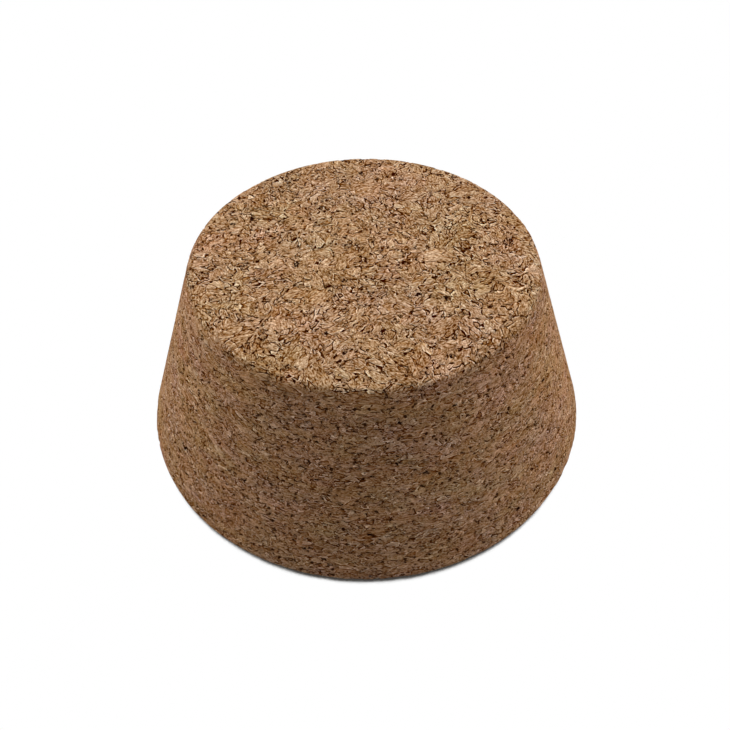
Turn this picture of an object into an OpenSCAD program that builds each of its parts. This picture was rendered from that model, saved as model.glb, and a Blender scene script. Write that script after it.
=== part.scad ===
// Tapered stopper of agglomerated cork, standing on its wide end.
// One turned piece: a truncated cone with both of its rims rounded over.
// Origin: centre of the wide end's face. +Z runs up the axis, towards the narrow end.

/* [Ends] */
// Diameter of the wide end, measured to its corner before the rim is rounded
wide_end_d = 70; // [58:1:110]
// Diameter of the narrow end, the one that goes into the neck first, measured the same way
narrow_end_d = 50; // [30:1:56]

/* [Length] */
// Length of the stopper, from one flat end to the other
stopper_length = 30; // [18:1:60]

/* [Rims] */
// Radius of the rounding on the wide end's rim
wide_rim_r = 1.0; // [0.3:0.1:3]
// Radius of the rounding on the narrow end's rim
narrow_rim_r = 1.25; // [0.3:0.05:3]

/* [Hidden] */
$fn = 128;

wide_end_r = wide_end_d / 2;
narrow_end_r = narrow_end_d / 2;

// Angle between the side and a flat end, measured inside the wide rim.
side_angle = atan2(stopper_length, wide_end_r - narrow_end_r);

// Distance from a corner to the points where its rounding meets the flat and the side.
// inside_angle is the angle of cork at that corner.
function rim_setback(rim_r, inside_angle) = rim_r / tan(inside_angle / 2);

wide_setback = rim_setback(wide_rim_r, side_angle);
narrow_setback = rim_setback(narrow_rim_r, 180 - side_angle);

// Unit step up the side, from the wide rim towards the narrow one.
up_side = [-cos(side_angle), sin(side_angle)];

// What the rounding of a rim takes away: the tip of its corner, outside the circle that touches both
// edges. It is drawn with the corner at the origin and the flat end running to -X. side_step is the
// unit step from the corner along the side. inward is 1 where the cork lies above the flat end, and
// -1 where it lies below.
module rim_waste(rim_r, setback, side_step, inward) {
    difference() {
        polygon([[0, 0], [-setback, 0], setback * side_step]);
        translate([-setback, inward * rim_r]) circle(r = rim_r);
    }
}

// Half of the stopper's section, from the axis to the side.
module half_section() {
    difference() {
        polygon([[0, 0], [wide_end_r, 0], [narrow_end_r, stopper_length], [0, stopper_length]]);
        translate([wide_end_r, 0])
            rim_waste(wide_rim_r, wide_setback, up_side, 1);
        translate([narrow_end_r, stopper_length])
            rim_waste(narrow_rim_r, narrow_setback, -up_side, -1);
    }
}

// The whole stopper: one block of pressed cork granules, ground to a taper.
module cork_stopper() {
    color([0.60, 0.47, 0.35])
        rotate_extrude()
            half_section();
}

cork_stopper();
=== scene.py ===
import math

import bpy
from mathutils import Matrix, Vector


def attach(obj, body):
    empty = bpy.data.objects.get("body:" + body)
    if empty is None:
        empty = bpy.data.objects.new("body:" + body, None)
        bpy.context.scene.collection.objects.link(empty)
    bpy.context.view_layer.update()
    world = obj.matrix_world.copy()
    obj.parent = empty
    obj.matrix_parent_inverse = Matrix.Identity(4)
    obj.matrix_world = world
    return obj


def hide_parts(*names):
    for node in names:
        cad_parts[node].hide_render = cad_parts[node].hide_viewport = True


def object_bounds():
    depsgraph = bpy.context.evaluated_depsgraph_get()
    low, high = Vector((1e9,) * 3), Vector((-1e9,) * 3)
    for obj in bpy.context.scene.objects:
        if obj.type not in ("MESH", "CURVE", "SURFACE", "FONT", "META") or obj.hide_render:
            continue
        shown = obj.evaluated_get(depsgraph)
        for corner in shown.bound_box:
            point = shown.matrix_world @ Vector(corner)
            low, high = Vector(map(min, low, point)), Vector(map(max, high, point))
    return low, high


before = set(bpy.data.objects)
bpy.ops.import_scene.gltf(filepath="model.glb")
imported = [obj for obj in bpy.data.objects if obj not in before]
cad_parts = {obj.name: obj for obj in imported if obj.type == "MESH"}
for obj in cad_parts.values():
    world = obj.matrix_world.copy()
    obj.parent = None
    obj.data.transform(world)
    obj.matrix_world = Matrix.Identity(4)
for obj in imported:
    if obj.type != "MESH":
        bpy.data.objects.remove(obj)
cad_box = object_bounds()

MM = 0.001

# The stopper's own sizes, as in the part's source.
WIDE_END_R = 35 * MM
NARROW_END_R = 25 * MM
WIDE_RIM_R = 1.0 * MM
NARROW_RIM_R = 1.25 * MM
STOPPER_LENGTH = cad_box[1].z - cad_box[0].z

# The mesh of the block: cells across each end, rows of cells up the side, and steps round each rim.
CELLS_ACROSS = 144
ROWS_UP_SIDE = 96
RIM_STEPS = 24

# The relief of the block. It only goes inwards.
GAP_DEPTH = 0.25 * MM
UNEVENNESS = 0.08 * MM

FLOAT = "NodeSocketFloat"
WHOLE = "NodeSocketInt"
VECTOR = "NodeSocketVector"
COLOUR = "NodeSocketColor"
GEOMETRY = "NodeSocketGeometry"
MATERIAL = "NodeSocketMaterial"

# Noise and random draws go from 0 to 1 round this middle.
MIDDLE = 0.5


# ---- Making node trees ----


class Bench:
    """Adds nodes to one tree. Most calls return the new node's output, ready to feed to another."""

    def __init__(self, tree):
        self.tree = tree

    def node(self, kind, settings=None, inputs=None):
        made = self.tree.nodes.new(kind)
        for name, value in (settings or {}).items():
            setattr(made, name, value)
        for name, value in (inputs or {}).items():
            self.feed(self.open_socket(made.inputs, name), value)
        return made

    def open_socket(self, sockets, name):
        return next(s for s in sockets if s.enabled and s.name == name)

    def feed(self, socket, value):
        if isinstance(value, bpy.types.NodeSocket):
            self.tree.links.new(value, socket)
        else:
            socket.default_value = value

    def operate(self, kind, operation, values):
        made = self.tree.nodes.new(kind)
        made.operation = operation
        for socket, value in zip(made.inputs, values):
            self.feed(socket, value)
        return made

    def math(self, operation, *values):
        return self.operate("ShaderNodeMath", operation, values).outputs["Value"]

    def vector(self, operation, *values):
        return self.operate("ShaderNodeVectorMath", operation, values).outputs["Vector"]

    def measure(self, operation, *values):
        return self.operate("ShaderNodeVectorMath", operation, values).outputs["Value"]

    def scaled(self, vector, factor):
        made = self.node(
            "ShaderNodeVectorMath", {"operation": "SCALE"}, {"Vector": vector, "Scale": factor}
        )
        return made.outputs["Vector"]

    def product(self, a, b):
        return self.math("MULTIPLY", a, b)

    def swing(self, value, reach, base=0.0):
        """Base, plus up to half of reach each way as value goes from 0 to 1."""
        return self.math("MULTIPLY_ADD", self.math("SUBTRACT", value, MIDDLE), reach, base)

    def parts(self, vector):
        made = self.node("ShaderNodeSeparateXYZ", inputs={"Vector": vector})
        return made.outputs["X"], made.outputs["Y"], made.outputs["Z"]

    def joined(self, x, y, z):
        made = self.node("ShaderNodeCombineXYZ", inputs={"X": x, "Y": y, "Z": z})
        return made.outputs["Vector"]

    def blend(self, kind, factor, a, b):
        made = self.node("ShaderNodeMix", {"data_type": kind}, {"Factor": factor, "A": a, "B": b})
        return self.open_socket(made.outputs, "Result")

    def between(self, factor, a, b):
        return self.blend("FLOAT", factor, a, b)

    def ramp(self, value, start, end, low=0.0, high=1.0):
        """Goes smoothly from low to high while value goes from start to end."""
        made = self.node(
            "ShaderNodeMapRange",
            {"interpolation_type": "SMOOTHSTEP"},
            {"Value": value, "From Min": start, "From Max": end, "To Min": low, "To Max": high},
        )
        return made.outputs["Result"]

    def fade(self, value, start, end):
        """Goes smoothly from 1 to 0 while value goes from start to end."""
        return self.ramp(value, start, end, 1.0, 0.0)

    def noise(self, vector, waves, detail=1.0, **more):
        """Noise with so many waves in a unit of the vector."""
        return self.node(
            "ShaderNodeTexNoise", inputs={"Vector": vector, "Scale": waves, "Detail": detail, **more}
        )

    def wander(self, vector, waves, reach):
        """Noise that shifts a place by up to about half of reach each way."""
        drawn = self.noise(vector, waves).outputs["Color"]
        return self.scaled(self.vector("SUBTRACT", drawn, (MIDDLE, MIDDLE, MIDDLE)), reach)

    def cells(self, vector, feature="F1"):
        return self.node("ShaderNodeTexVoronoi", {"feature": feature}, {"Vector": vector, "Scale": 1.0})


def new_group(name, kind, inputs, outputs):
    """A group with named sockets. Returns its tree, bench, inputs as given inside, and result."""
    tree = bpy.data.node_groups.new(name, kind)
    for socket_name, socket_kind, value in inputs:
        socket = tree.interface.new_socket(socket_name, in_out="INPUT", socket_type=socket_kind)
        if value is not None:
            socket.default_value = value
    for socket_name, socket_kind in outputs:
        tree.interface.new_socket(socket_name, in_out="OUTPUT", socket_type=socket_kind)
    bench = Bench(tree)
    given = bench.node("NodeGroupInput").outputs
    result = bench.node("NodeGroupOutput").inputs
    return tree, bench, given, result


# ---- The granules, read by the mesh and by the material ----

# Small and large granules. Pressing squashes them along the stopper's axis.
GRANULE = 2.0 * MM
LARGE_GRANULE = 3.4 * MM
SHARE_OF_LARGE = 0.3
SQUASH = 2.5

# From here, widths are in mm before pressing, and a noise is told by its waves in a mm.
# The seams between granules wander in slow bends and in quick ones, each with its waves and reach.
SLOW_BENDS = (0.5, 1.4)
QUICK_BENDS = (1.8, 0.3)

# A seam is open in short cracks, where a noise is high. A crack is widest in its middle and tapers,
# because the noise counts for less the further a point is from the seam. Its sides are shaded.
LOOSE_WAVES = 1.5
CRACK_TAPER = -1.0
CRACK_FROM_TO = (0.53, 0.6)
SHADE_TAPER = -0.6
SHADE_FROM_TO = (0.5, 0.6)

# The squashed seams open wider on the ground side than on a sawn end, where the factor is 1.
SIDE_OPENING = 1.6

# Pits: at most one in each cell of this spacing. Their radii and edges are in shares of the spacing.
PIT_SPACING = 3.5
SHARE_OF_PITS = 0.45
LEAST_PIT = 0.08
PIT_SPREAD = 0.12
RAGGED_WAVES = 2.2
RAGGEDNESS = 2.2
PIT_FROM_TO = (0.5, 1.0)


def build_granules(kind):
    """Which granule holds a point of the block, and how open its seam is or how deep in a pit it lies."""
    tree, bench, given, result = new_group(
        "Pressed granules",
        kind,
        [
            ("Position", VECTOR, None),
            ("Granule size", FLOAT, GRANULE),
            ("Large granule size", FLOAT, LARGE_GRANULE),
            ("Share of large", FLOAT, SHARE_OF_LARGE),
            ("Squash", FLOAT, SQUASH),
            ("Opening", FLOAT, 1.0),
        ],
        [
            ("Pressed position", VECTOR),
            ("Tint", VECTOR),
            ("Seam shade", FLOAT),
            ("Gap", FLOAT),
            ("Pit", FLOAT),
        ],
    )
    in_mm = bench.scaled(given["Position"], 1 / MM)
    pressed = bench.vector("MULTIPLY", in_mm, bench.joined(1.0, 1.0, given["Squash"]))
    stirred = bench.vector("ADD", pressed, bench.wander(pressed, *SLOW_BENDS))
    stirred = bench.vector("ADD", stirred, bench.wander(pressed, *QUICK_BENDS))

    small_mm = bench.math("DIVIDE", given["Granule size"], MM)
    large_mm = bench.math("DIVIDE", given["Large granule size"], MM)
    small_place = bench.scaled(stirred, bench.math("DIVIDE", 1.0, small_mm))
    large_place = bench.scaled(stirred, bench.math("DIVIDE", 1.0, large_mm))
    small_tint = bench.cells(small_place).outputs["Color"]
    large_tint = bench.cells(large_place).outputs["Color"]
    small_edge = bench.cells(small_place, "DISTANCE_TO_EDGE").outputs["Distance"]
    large_edge = bench.cells(large_place, "DISTANCE_TO_EDGE").outputs["Distance"]
    is_large = bench.math("LESS_THAN", bench.parts(large_tint)[0], given["Share of large"])
    seam = bench.between(is_large, bench.product(small_edge, small_mm), bench.product(large_edge, large_mm))
    seam = bench.math("DIVIDE", seam, given["Opening"])

    looseness = bench.noise(pressed, LOOSE_WAVES, 0.0).outputs["Fac"]
    crack = bench.ramp(bench.math("MULTIPLY_ADD", seam, CRACK_TAPER, looseness), *CRACK_FROM_TO)
    seam_shade = bench.ramp(bench.math("MULTIPLY_ADD", seam, SHADE_TAPER, looseness), *SHADE_FROM_TO)

    # Here and there a pit is left where a piece broke out.
    pit_cell = bench.cells(bench.scaled(stirred, 1 / PIT_SPACING))
    luck, size, _ = bench.parts(pit_cell.outputs["Color"])
    pit_size = bench.math("MULTIPLY_ADD", size, PIT_SPREAD, LEAST_PIT)
    ragged = bench.noise(pressed, RAGGED_WAVES, 0.0).outputs["Fac"]
    pit_reach = bench.math("DIVIDE", pit_cell.outputs["Distance"], pit_size)
    pit = bench.fade(bench.swing(ragged, RAGGEDNESS, pit_reach), *PIT_FROM_TO)
    pit = bench.product(pit, bench.math("LESS_THAN", luck, SHARE_OF_PITS))

    bench.feed(result["Pressed position"], pressed)
    bench.feed(result["Tint"], bench.blend("VECTOR", is_large, small_tint, large_tint))
    bench.feed(result["Seam shade"], seam_shade)
    bench.feed(result["Gap"], crack)
    bench.feed(result["Pit"], pit)
    return tree


# ---- The block ----

# On the cube, whose sides are 2 long, a point this far out is on an end.
END_OF_CUBE = 0.9999
CUBE = 2.0
EIGHTH_TURN = math.pi / 4

# The section's corners at the two rims, in its order of corners, and the slack in telling them apart.
NARROW_CORNER = 1.0
WIDE_CORNER = 2.0
CORNER_SLACK = 0.1

# How far the normal leans to the axis where the ground side becomes a sawn end.
SAWN_FROM_TO = (0.45, 0.9)

# The random draw over which granules lie lower and lower.
LOW_GRANULES_FROM_TO = (0.3, 1.0)


def build_block_tree(granules):
    """Turns a cube of cells into the rounded, tapered block, then sinks its seams and uneven granules."""
    tree, bench, given, result = new_group(
        "Cork block",
        "GeometryNodeTree",
        [
            ("Wide end radius", FLOAT, WIDE_END_R),
            ("Narrow end radius", FLOAT, NARROW_END_R),
            ("Length", FLOAT, STOPPER_LENGTH),
            ("Wide rim radius", FLOAT, WIDE_RIM_R),
            ("Narrow rim radius", FLOAT, NARROW_RIM_R),
            ("Cells across", WHOLE, CELLS_ACROSS),
            ("Rows up the side", WHOLE, ROWS_UP_SIDE),
            ("Rim steps", WHOLE, RIM_STEPS),
            ("Gap depth", FLOAT, GAP_DEPTH),
            ("Unevenness", FLOAT, UNEVENNESS),
            ("Finish", MATERIAL, None),
        ],
        [("Geometry", GEOMETRY)],
    )
    wide, narrow, length = given["Wide end radius"], given["Narrow end radius"], given["Length"]

    # Half of the section: out along the narrow end, down the side and back along the wide end.
    section = bench.node(
        "GeometryNodeCurvePrimitiveQuadrilateral",
        {"mode": "POINTS"},
        {
            "Point 1": bench.joined(0.0, 0.0, length),
            "Point 2": bench.joined(narrow, 0.0, length),
            "Point 3": bench.joined(wide, 0.0, 0.0),
            "Point 4": (0.0, 0.0, 0.0),
        },
    )
    corner = bench.node("GeometryNodeInputIndex").outputs["Index"]
    at_narrow = bench.math("COMPARE", corner, NARROW_CORNER, CORNER_SLACK)
    at_wide = bench.math("COMPARE", corner, WIDE_CORNER, CORNER_SLACK)
    rounding = bench.math(
        "ADD",
        bench.product(at_narrow, given["Narrow rim radius"]),
        bench.product(at_wide, given["Wide rim radius"]),
    )
    rounded = bench.node(
        "GeometryNodeFilletCurve",
        {"mode": "POLY"},
        {"Curve": section.outputs["Curve"], "Radius": rounding, "Count": given["Rim steps"]},
    ).outputs["Curve"]

    # How far along that path a vertex of the cube goes. Each end and the side get a fair share.
    loop = bench.node("GeometryNodeCurveLength", inputs={"Curve": rounded}).outputs["Length"]
    path = bench.math("SUBTRACT", loop, length)
    side = bench.measure("DISTANCE", bench.joined(narrow, length, 0.0), bench.joined(wide, 0.0, 0.0))
    whole = bench.math("ADD", bench.math("ADD", narrow, side), wide)
    side_start = bench.math("DIVIDE", narrow, whole)
    side_end = bench.math("DIVIDE", bench.math("ADD", narrow, side), whole)

    place = bench.node("GeometryNodeInputPosition").outputs["Position"]
    x, y, z = bench.parts(place)
    ring = bench.math("MAXIMUM", bench.math("ABSOLUTE", x), bench.math("ABSOLUTE", y))
    on_narrow = bench.math("GREATER_THAN", z, END_OF_CUBE)
    on_wide = bench.math("LESS_THAN", z, -END_OF_CUBE)
    along_narrow = bench.product(ring, side_start)
    to_axis = bench.product(ring, bench.math("SUBTRACT", 1.0, side_end))
    along_wide = bench.math("SUBTRACT", 1.0, to_axis)
    down = bench.product(bench.math("SUBTRACT", 1.0, z), 1 / CUBE)
    along_side = bench.between(down, side_start, side_end)
    along = bench.between(on_narrow, along_side, along_narrow)
    along = bench.between(on_wide, along, along_wide)
    on_path = bench.node(
        "GeometryNodeSampleCurve",
        {"mode": "LENGTH", "use_all_curves": True},
        {"Curves": rounded, "Length": bench.product(along, path)},
    ).outputs["Position"]
    radius, _, height = bench.parts(on_path)

    # The square's rings become circles, with their cells evenly spread round the axis.
    on_square = bench.scaled(bench.joined(x, y, 0.0), bench.math("DIVIDE", 1.0, ring))
    eighth_turns = bench.scaled(on_square, EIGHTH_TURN)
    outward = bench.vector("NORMALIZE", bench.vector("TANGENT", eighth_turns))
    turned = bench.vector("ADD", bench.scaled(outward, radius), bench.joined(0.0, 0.0, height))

    cube = bench.node(
        "GeometryNodeMeshCube",
        inputs={
            "Size": (CUBE, CUBE, CUBE),
            "Vertices X": bench.math("ADD", given["Cells across"], 1.0),
            "Vertices Y": bench.math("ADD", given["Cells across"], 1.0),
            "Vertices Z": bench.math("ADD", given["Rows up the side"], 1.0),
        },
    ).outputs["Mesh"]
    block = bench.node("GeometryNodeSetPosition", inputs={"Geometry": cube, "Position": turned})
    block = block.outputs["Geometry"]

    # The ends are sawn and the side is ground, and they look a little different.
    normal = bench.node("GeometryNodeInputNormal").outputs["Normal"]
    tilt = bench.math("ABSOLUTE", bench.parts(normal)[2])
    sawn = bench.ramp(tilt, *SAWN_FROM_TO)
    block = bench.node(
        "GeometryNodeStoreNamedAttribute",
        {"data_type": "FLOAT", "domain": "POINT"},
        {"Geometry": block, "Name": "sawn", "Value": sawn},
    ).outputs["Geometry"]

    # The relief only goes inwards, so the block keeps its size.
    pattern = bench.node(
        "GeometryNodeGroup",
        {"node_tree": granules},
        {"Position": place, "Opening": bench.between(sawn, SIDE_OPENING, 1.0)},
    ).outputs
    opening = bench.math("MAXIMUM", pattern["Gap"], pattern["Pit"])
    level = bench.ramp(bench.parts(pattern["Tint"])[1], *LOW_GRANULES_FROM_TO)
    sunk = bench.math(
        "ADD",
        bench.product(opening, given["Gap depth"]),
        bench.product(level, given["Unevenness"]),
    )
    inward = bench.scaled(normal, bench.product(sunk, -1.0))
    block = bench.node("GeometryNodeSetPosition", inputs={"Geometry": block, "Offset": inward})
    block = bench.node("GeometryNodeSetShadeSmooth", inputs={"Geometry": block.outputs["Geometry"]})
    block = bench.node("GeometryNodeRealizeInstances", inputs={"Geometry": block.outputs["Geometry"]})
    block = bench.node(
        "GeometryNodeSetMaterial",
        inputs={"Geometry": block.outputs["Geometry"], "Material": given["Finish"]},
    )
    bench.feed(result["Geometry"], block.outputs["Geometry"])
    return tree


def make_block(tree, finish):
    """Runs the block's tree once and keeps its result as a plain mesh."""
    blank = bpy.data.meshes.new("blank")
    worker = bpy.data.objects.new("worker", blank)
    bpy.context.scene.collection.objects.link(worker)
    grower = worker.modifiers.new("Cork block", "NODES")
    grower.node_group = tree
    chosen = {"Finish": finish}
    for socket in tree.interface.items_tree:
        if socket.in_out == "INPUT" and socket.name in chosen:
            grower[socket.identifier] = chosen[socket.name]
    now = bpy.context.evaluated_depsgraph_get()
    mesh = bpy.data.meshes.new_from_object(worker.evaluated_get(now), depsgraph=now)
    mesh.name = "cork_block"
    mesh.polygons.foreach_set("material_index", [0] * len(mesh.polygons))
    mesh.materials.clear()
    mesh.materials.append(finish)
    bpy.data.objects.remove(worker)
    block = bpy.data.objects.new("cork_block", mesh)
    bpy.context.scene.collection.objects.link(block)
    return block


# ---- Finishes ----

# The usual curve of screen values: straight in the darkest tones, and a power above them.
SCREEN_WHITE = 255
STRAIGHT_UP_TO = 0.04045
STRAIGHT_SLOPE = 12.92
CURVE_SHIFT = 0.055
CURVE_POWER = 2.4


def from_screen(red, green, blue):
    """A colour written in screen values of 0 to 255, as the linear colour that nodes take."""

    def linear(value):
        share = value / SCREEN_WHITE
        if share <= STRAIGHT_UP_TO:
            return share / STRAIGHT_SLOPE
        return ((share + CURVE_SHIFT) / (1 + CURVE_SHIFT)) ** CURVE_POWER

    return (linear(red), linear(green), linear(blue), 1.0)


WHITE = (1.0, 1.0, 1.0, 1.0)

# How the flakes of a granule lie. They are long, narrow and thin, and bend with waves and a reach.
FLAKE_TILT = 0.6
FLAKE_SHAPE = (0.5, 1.0, 0.8)
FLAKE_BENDS = (1.0, 0.45)

# Some granules are cut finer than others, over this range of the draw.
FINE_FROM_TO = (0.2, 0.8)
LEAST_FINENESS = 0.83
FINENESS_SPREAD = 0.65

# Crinkles and grain follow the flakes: their shape, waves and detail.
CRINKLE_SHAPE = (0.4, 1.5, 0.8)
CRINKLE_WAVES = 2.2
CRINKLE_DETAIL = 2.0
CRINKLE_FINE_SHARE = 0.75
CRINKLE_TWIST = 0.5
GRAIN_SHAPE = (0.6, 1.2, 0.55)
GRAIN_WAVES = 4.0

# How far the tone swings from granule to granule, flake to flake, and over the crinkles and grain.
GRANULE_CONTRAST = 0.09
FLAKE_CONTRAST = 0.18
CRINKLE_CONTRAST = 0.52
GRAIN_CONTRAST = 1.5

# The tone, from 0 to 1, is picked from these stops.
MEAN_TONE = 0.542
TONES = (
    (0.0, from_screen(52, 12, 0)),
    (0.24, from_screen(108, 60, 16)),
    (0.42, from_screen(157, 117, 76)),
    (0.6, from_screen(190, 154, 121)),
    (0.8, from_screen(215, 181, 151)),
    (1.0, from_screen(252, 227, 194)),
)
# Painted shade in open cracks and pits: a near-black brown, deeper than the mesh sinks them.
GAP_SHADE_BROWN = from_screen(50, 12, 0)
PIT_SHADE_BROWN = from_screen(40, 14, 6)

# A few flakes, at random, are lifted paler as painted highlights, and wide patches of the block drift in
# tone.
PALE_HIGHLIGHT_FLAKES_FROM_TO = (0.86, 0.97)
FLAKE_HIGHLIGHT_LIFT = 0.07
DRIFT_WAVES = 0.16
DRIFT = 0.08

# Each pair is how strongly something shows on the ground side and on a sawn end.
GRANULES_SHOW = (1.1, 1.0)
GRAIN_SHOWS = (0.6, 1.0)
TONE_SHOWS = (0.9, 1.0)
STEPS_SHOW = (0.47, 1.0)
CREVICE_SHADE_SHOWS = (0.65, 1.0)
GAPS_SHOW = (0.88, 1.0)

# Gaps fainter than this are lost, on the ground side and on a sawn end.
FAINT_GAP = (0.6, 0.0)

# Where one flake lies above the next: a painted shadow under its step, which is also sunk in the relief,
# and a painted highlight on its rim.
STEP_FROM_TO = (0.04, 0.17)
STEP_DROP_FROM_TO = (0.05, 0.5)
STEP_SHADOW_DARKNESS = 0.76
LEAST_STEP = 0.6
STEP_SPREAD = 0.4
RIM_HIGHLIGHT_FROM_TO = (0.02, 0.12)
RIM_HIGHLIGHT_DROP_FROM_TO = (-0.1, -0.8)
RIM_HIGHLIGHT_LIFT = 0.36

# Granules, flakes and wide patches are warmer or cooler. Green goes the other way, by this share.
GRANULE_WARMTH = 0.045
FLAKE_WARMTH = 0.02
PATCH_WAVES = 0.12
PATCH_WARMTH = 0.16
GREEN_SHARE = 0.2

# Granules and patches are bluer or yellower too, the patches by one reach on the side and one on an end.
GRANULE_BLOOM = 0.08
PATCH_BLOOM = (0.5, 0.28)

# The whole side and the ends are toned down a little, the side more. On the side this is partly painted
# shade, a darker and redder cast.
SIDE_CAST_AND_SHADE = (0.97, 0.9, 0.87)
END_CAST = (0.98, 0.955, 0.915)

# Painted shade in the crevices: the joins on the lower side of a flake step and beside open seams are a
# deeper, warmer brown.
CREVICE_SHADE_FROM_TO = (0.05, 0.25)
CREVICE_SHADE_DROP_FROM_TO = (0.0, 0.3)
NO_CAST = (1.0, 1.0, 1.0)
CREVICE_SHADE_CAST = (0.98, 0.85, 0.62)

# The fine relief, as shares of its depth: each flake is a low dome, with crinkles on it.
RELIEF_DEPTH = 0.16 * MM
DOME_WIDTH = 0.3
DOME_HEIGHT = 0.5
CRINKLE_HEIGHT = 0.4

# Roughness over the crinkles. The gaps are fully rough.
CRINKLE_FROM_TO = (0.2, 0.8)
LEAST_ROUGHNESS = 0.8
MOST_ROUGHNESS = 0.95

# Cork has no clear sheen.
SPECULAR_LEVEL = 0.0


def build_cork_look():
    """Colour, roughness and fine relief of the pressed granules. The colour holds painted shade and
    highlights at flake steps, crevices, cracks and pits.
    """
    tree, bench, given, result = new_group(
        "Cork look",
        "ShaderNodeTree",
        [
            ("Pressed position", VECTOR, None),
            ("Tint", VECTOR, None),
            ("Seam shade", FLOAT, 0.0),
            ("Gap", FLOAT, 0.0),
            ("Pit", FLOAT, 0.0),
            ("Sawn", FLOAT, 1.0),
            ("Opening", FLOAT, 1.0),
            ("Granule contrast", FLOAT, GRANULE_CONTRAST),
            ("Flake contrast", FLOAT, FLAKE_CONTRAST),
            ("Crinkle contrast", FLOAT, CRINKLE_CONTRAST),
            ("Grain contrast", FLOAT, GRAIN_CONTRAST),
        ],
        [("Colour", COLOUR), ("Roughness", FLOAT), ("Height", FLOAT)],
    )
    pressed = given["Pressed position"]
    sawn = given["Sawn"]
    draw_x, draw_y, draw_z = bench.parts(given["Tint"])

    # Each granule lies its own way round, and its flakes lie along it.
    lie = bench.joined(
        bench.swing(draw_x, FLAKE_TILT), bench.swing(draw_z, FLAKE_TILT), bench.product(draw_y, 2 * math.pi)
    )
    along = bench.node(
        "ShaderNodeVectorRotate", {"rotation_type": "EULER_XYZ"}, {"Vector": pressed, "Rotation": lie}
    ).outputs["Vector"]
    busy = bench.ramp(draw_z, *FINE_FROM_TO)
    fineness = bench.math("MULTIPLY_ADD", busy, FINENESS_SPREAD, LEAST_FINENESS)
    flaked = bench.vector("MULTIPLY", along, FLAKE_SHAPE)
    flaked = bench.vector("ADD", flaked, bench.wander(along, *FLAKE_BENDS))
    flaked = bench.scaled(flaked, fineness)
    flake = bench.cells(flaked)
    next_flake = bench.cells(flaked, "F2")
    edge = bench.cells(flaked, "DISTANCE_TO_EDGE").outputs["Distance"]
    edge = bench.math("DIVIDE", edge, bench.product(fineness, given["Opening"]))
    flake_tone, flake_warmth, depth = bench.parts(flake.outputs["Color"])
    next_depth = bench.parts(next_flake.outputs["Color"])[2]
    drop = bench.math("SUBTRACT", next_depth, depth)

    crinkle = bench.noise(
        bench.vector("MULTIPLY", along, CRINKLE_SHAPE),
        CRINKLE_WAVES,
        CRINKLE_DETAIL,
        Roughness=CRINKLE_FINE_SHARE,
        Distortion=CRINKLE_TWIST,
    ).outputs["Fac"]
    grain = bench.noise(bench.vector("MULTIPLY", along, GRAIN_SHAPE), GRAIN_WAVES).outputs["Fac"]
    grain = bench.product(bench.math("SUBTRACT", grain, MIDDLE), bench.between(sawn, *GRAIN_SHOWS))

    tone = bench.swing(draw_x, given["Granule contrast"])
    tone = bench.swing(flake_tone, given["Flake contrast"], tone)
    tone = bench.product(tone, bench.between(sawn, *GRANULES_SHOW))
    tone = bench.swing(crinkle, given["Crinkle contrast"], tone)
    tone = bench.math("MULTIPLY_ADD", grain, given["Grain contrast"], tone)
    # Painted highlights: a few random flakes are lifted paler.
    tone = bench.math("ADD", tone, bench.ramp(flake_tone, *PALE_HIGHLIGHT_FLAKES_FROM_TO, 0.0, FLAKE_HIGHLIGHT_LIFT))
    tone = bench.swing(bench.noise(pressed, DRIFT_WAVES).outputs["Fac"], DRIFT, tone)
    tone = bench.math("MULTIPLY_ADD", tone, bench.between(sawn, *TONE_SHOWS), MEAN_TONE)

    # Flakes lie at different depths: the lower one gets a painted shadow along their shared edge and the
    # higher one a painted highlight. The step also sinks the fine relief.
    rim_highlight = bench.product(bench.fade(edge, *RIM_HIGHLIGHT_FROM_TO), bench.ramp(drop, *RIM_HIGHLIGHT_DROP_FROM_TO, 0.0, RIM_HIGHLIGHT_LIFT))
    step_depth_and_shadow = bench.product(bench.fade(edge, *STEP_FROM_TO), bench.ramp(drop, *STEP_DROP_FROM_TO))
    step_depth_and_shadow = bench.product(step_depth_and_shadow, bench.math("MULTIPLY_ADD", busy, STEP_SPREAD, LEAST_STEP))
    step_depth_and_shadow = bench.product(step_depth_and_shadow, bench.between(sawn, *STEPS_SHOW))
    tone = bench.math("SUBTRACT", bench.math("ADD", tone, rim_highlight), bench.product(step_depth_and_shadow, STEP_SHADOW_DARKNESS))

    picked = bench.node("ShaderNodeValToRGB", inputs={"Fac": tone})
    stops = picked.color_ramp.elements
    first, *inner, last = TONES
    stops[0].position, stops[0].color = first
    stops[1].position, stops[1].color = last
    for position, brown in inner:
        stops.new(position).color = brown

    patch, patch_bloom, _ = bench.parts(bench.noise(pressed, PATCH_WAVES).outputs["Color"])
    warmth = bench.swing(draw_y, GRANULE_WARMTH)
    warmth = bench.swing(flake_warmth, FLAKE_WARMTH, warmth)
    warmth = bench.swing(patch, PATCH_WARMTH, warmth)
    bloom = bench.swing(draw_z, GRANULE_BLOOM, 1.0)
    bloom = bench.swing(patch_bloom, bench.between(sawn, *PATCH_BLOOM), bloom)
    red = bench.math("ADD", 1.0, warmth)
    green = bench.math("SUBTRACT", 1.0, bench.product(warmth, GREEN_SHARE))
    colour = bench.vector("MULTIPLY", picked.outputs["Color"], bench.joined(red, green, bloom))
    # Partly painted shade: the side gets a darker, redder cast than the ends.
    colour = bench.vector("MULTIPLY", colour, bench.blend("VECTOR", sawn, SIDE_CAST_AND_SHADE, END_CAST))

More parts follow.
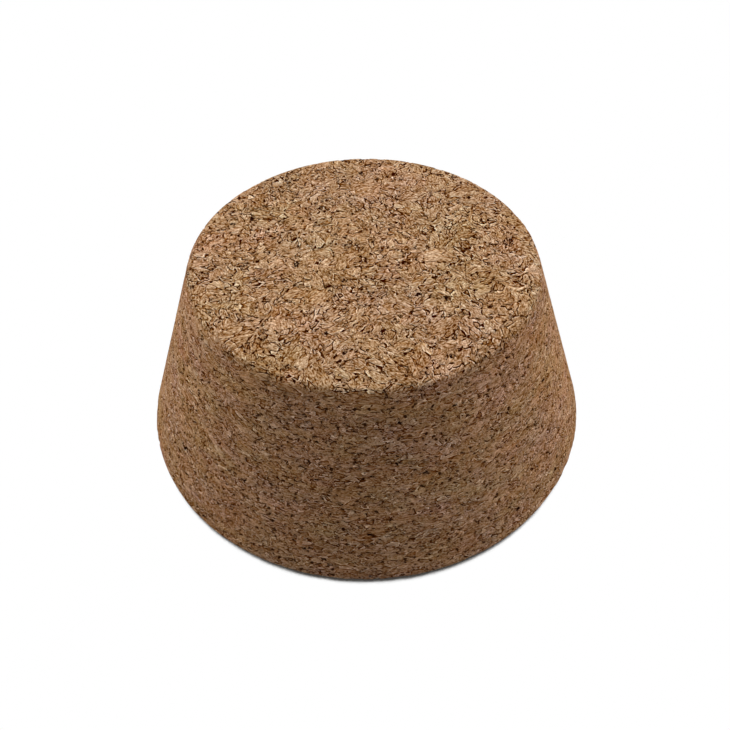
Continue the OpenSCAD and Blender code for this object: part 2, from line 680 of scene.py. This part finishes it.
    # Painted crevice shade: a deeper, warmer brown on the lower side of flake steps and beside open seams.
    crevice_shade = bench.product(bench.fade(edge, *CREVICE_SHADE_FROM_TO), bench.ramp(drop, *CREVICE_SHADE_DROP_FROM_TO))
    crevice_shade = bench.math("MAXIMUM", crevice_shade, given["Seam shade"])
    crevice_shade = bench.product(crevice_shade, bench.between(sawn, *CREVICE_SHADE_SHOWS))
    colour = bench.vector("MULTIPLY", colour, bench.blend("VECTOR", crevice_shade, NO_CAST, CREVICE_SHADE_CAST))

    # Open cracks and pits take painted shade, a near-black brown.
    gap = bench.ramp(given["Gap"], bench.between(sawn, *FAINT_GAP), 1.0)
    gap = bench.product(gap, bench.between(sawn, *GAPS_SHOW))
    colour = bench.blend("RGBA", gap, colour, GAP_SHADE_BROWN)
    colour = bench.blend("RGBA", given["Pit"], colour, PIT_SHADE_BROWN)

    opening = bench.math("MAXIMUM", gap, given["Pit"])
    dome = bench.product(bench.ramp(edge, 0.0, DOME_WIDTH), DOME_HEIGHT)
    height = bench.math("MULTIPLY_ADD", crinkle, CRINKLE_HEIGHT, dome)
    height = bench.math("ADD", height, grain)
    height = bench.math("SUBTRACT", height, bench.math("MAXIMUM", step_depth_and_shadow, opening))
    roughness = bench.ramp(crinkle, *CRINKLE_FROM_TO, LEAST_ROUGHNESS, MOST_ROUGHNESS)

    bench.feed(result["Colour"], colour)
    bench.feed(result["Roughness"], bench.math("MAXIMUM", roughness, opening))
    bench.feed(result["Height"], height)
    return tree


def build_cork(granules):
    """The cork finish, which takes its granules and its look from the two groups."""
    finish = bpy.data.materials.new("Pressed cork")
    finish.use_nodes = True
    tree = finish.node_tree
    tree.nodes.clear()
    bench = Bench(tree)
    place = bench.node("ShaderNodeTexCoord").outputs["Object"]
    sawn = bench.node("ShaderNodeAttribute", {"attribute_name": "sawn"}).outputs["Fac"]
    opening = bench.between(sawn, SIDE_OPENING, 1.0)
    pattern = bench.node(
        "ShaderNodeGroup", {"node_tree": granules}, {"Position": place, "Opening": opening}
    ).outputs
    shared = {name: pattern[name] for name in ("Pressed position", "Tint", "Seam shade", "Gap", "Pit")}
    look = bench.node(
        "ShaderNodeGroup", {"node_tree": build_cork_look()}, {"Sawn": sawn, "Opening": opening, **shared}
    ).outputs
    relief = bench.node("ShaderNodeBump", inputs={"Height": look["Height"], "Distance": RELIEF_DEPTH})
    shader = bench.node(
        "ShaderNodeBsdfPrincipled",
        inputs={
            "Base Color": look["Colour"],
            "Roughness": look["Roughness"],
            "Specular IOR Level": SPECULAR_LEVEL,
            "Normal": relief.outputs["Normal"],
        },
    )
    output = bench.node("ShaderNodeOutputMaterial")
    tree.links.new(shader.outputs["BSDF"], output.inputs["Surface"])
    return finish


def shown_plainly(bench):
    """1 for a camera, glossy or transmission ray, and 0 for a ray that only carries light."""
    path = bench.node("ShaderNodeLightPath").outputs
    seen = bench.math("MAXIMUM", path["Is Camera Ray"], path["Is Glossy Ray"])
    return bench.math("MAXIMUM", seen, path["Is Transmission Ray"])


# Diffuse colour of the floor, which the light sees, and the strength of the world's own light.
FLOOR_GREY = (0.8, 0.8, 0.8, 1.0)
WORLD_LIGHT = 0.067
FLOOR_REACH = 2.0

# The shadow line at the foot, from how open the floor is towards the rear.
SHADOW_COLOUR = from_screen(66, 62, 58)
SHADOW_LEAN = (0.0, 1.0, 1.0)
SHADOW_REACH = 1.5 * MM
SHADOW_SAMPLES = 16
SHADOW_FROM_TO = (0.29, 0.44)


def build_floor_finish():
    """White, with a painted shadow line at the stopper's foot, on the side away from the rear lamps."""
    finish = bpy.data.materials.new("White floor")
    finish.use_nodes = True
    tree = finish.node_tree
    tree.nodes.clear()
    bench = Bench(tree)
    toward_lamps = bench.vector("NORMALIZE", SHADOW_LEAN)
    openness = bench.node(
        "ShaderNodeAmbientOcclusion",
        {"samples": SHADOW_SAMPLES},
        {"Distance": SHADOW_REACH, "Normal": toward_lamps},
    ).outputs["AO"]
    lit = bench.ramp(openness, *SHADOW_FROM_TO)
    tone = bench.blend("RGBA", lit, SHADOW_COLOUR, WHITE)
    diffuse = bench.node("ShaderNodeBsdfDiffuse", inputs={"Color": FLOOR_GREY})
    glow = bench.node("ShaderNodeEmission", inputs={"Color": tone, "Strength": 1.0})
    mix = bench.node("ShaderNodeMixShader", inputs={"Fac": shown_plainly(bench)})
    tree.links.new(diffuse.outputs["BSDF"], mix.inputs[1])
    tree.links.new(glow.outputs["Emission"], mix.inputs[2])
    output = bench.node("ShaderNodeOutputMaterial")
    tree.links.new(mix.outputs["Shader"], output.inputs["Surface"])
    return finish


def light_world():
    """White where it is seen, with a weak even light of its own."""
    world = bpy.data.worlds.new("Studio")
    bpy.context.scene.world = world
    world.use_nodes = True
    tree = world.node_tree
    tree.nodes.clear()
    bench = Bench(tree)
    strength = bench.between(shown_plainly(bench), WORLD_LIGHT, 1.0)
    background = bench.node("ShaderNodeBackground", inputs={"Color": WHITE, "Strength": strength})
    output = bench.node("ShaderNodeOutputWorld")
    tree.links.new(background.outputs["Background"], output.inputs["Surface"])


def lay_floor():
    mesh = bpy.data.meshes.new("floor")
    corners = [(x * FLOOR_REACH, y * FLOOR_REACH, 0) for x, y in ((-1, -1), (1, -1), (1, 1), (-1, 1))]
    mesh.from_pydata(corners, [], [(0, 1, 2, 3)])
    mesh.materials.append(build_floor_finish())
    floor = bpy.data.objects.new("floor", mesh)
    bpy.context.scene.collection.objects.link(floor)
    return floor


# ---- Lamps and camera ----

MIDDLE_OF_STOPPER = Vector((0, 0, STOPPER_LENGTH / 2))

# Each lamp's name, azimuth in degrees and power in watts. Azimuth 0 is in front, and 90 is on the right.
LAMPS = (
    ("left lamp", -90, 1.0),
    ("right lamp", 90, 1.08),
    ("rear left lamp", -135, 1.32),
    ("rear right lamp", 135, 1.32),
)
LAMP_ELEVATION = math.radians(35)
LAMP_DISTANCE = 0.5
LAMP_SIZE = 0.3

# The camera looks down at the stopper from in front.
CAMERA_ELEVATION = math.radians(45.52)
CAMERA_DISTANCE = 134.25 * MM
CAMERA_AIM = Vector((-0.08 * MM, 0, 7.43 * MM))
CAMERA_ROLL = math.radians(-1.17)
LENS_LENGTH = 42.64
SENSOR_WIDTH = 36


def direction(azimuth, elevation):
    """The unit step from the stopper to something seen at this azimuth and elevation, in radians."""
    flat = math.cos(elevation)
    return Vector((math.sin(azimuth) * flat, -math.cos(azimuth) * flat, math.sin(elevation)))


def add_softbox(name, azimuth, power):
    """A square lamp that faces the stopper."""
    away = direction(math.radians(azimuth), LAMP_ELEVATION)
    lamp = bpy.data.lights.new(name, "AREA")
    lamp.shape = "SQUARE"
    lamp.size = LAMP_SIZE
    lamp.energy = power
    holder = bpy.data.objects.new(name, lamp)
    holder.location = MIDDLE_OF_STOPPER + away * LAMP_DISTANCE
    holder.rotation_euler = (-away).to_track_quat("-Z", "Y").to_euler()
    bpy.context.scene.collection.objects.link(holder)


def place_camera():
    lens = bpy.data.cameras.new("camera")
    lens.lens = LENS_LENGTH
    lens.sensor_width = SENSOR_WIDTH
    camera = bpy.data.objects.new("camera", lens)
    stand = MIDDLE_OF_STOPPER + CAMERA_DISTANCE * direction(0.0, CAMERA_ELEVATION)
    facing = (CAMERA_AIM - stand).to_track_quat("-Z", "Y").to_matrix().to_4x4()
    camera.matrix_world = Matrix.Translation(stand) @ facing @ Matrix.Rotation(CAMERA_ROLL, 4, "Z")
    bpy.context.scene.collection.objects.link(camera)
    bpy.context.scene.camera = camera


# ---- The scene ----

cork = build_cork(build_granules("ShaderNodeTree"))
block = make_block(build_block_tree(build_granules("GeometryNodeTree")), cork)
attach(block, "root")
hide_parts("cork_stopper")

lay_floor()
light_world()
for name, azimuth, power in LAMPS:
    add_softbox(name, azimuth, power)
place_camera()
bpy.context.scene.view_settings.view_transform = "Standard"
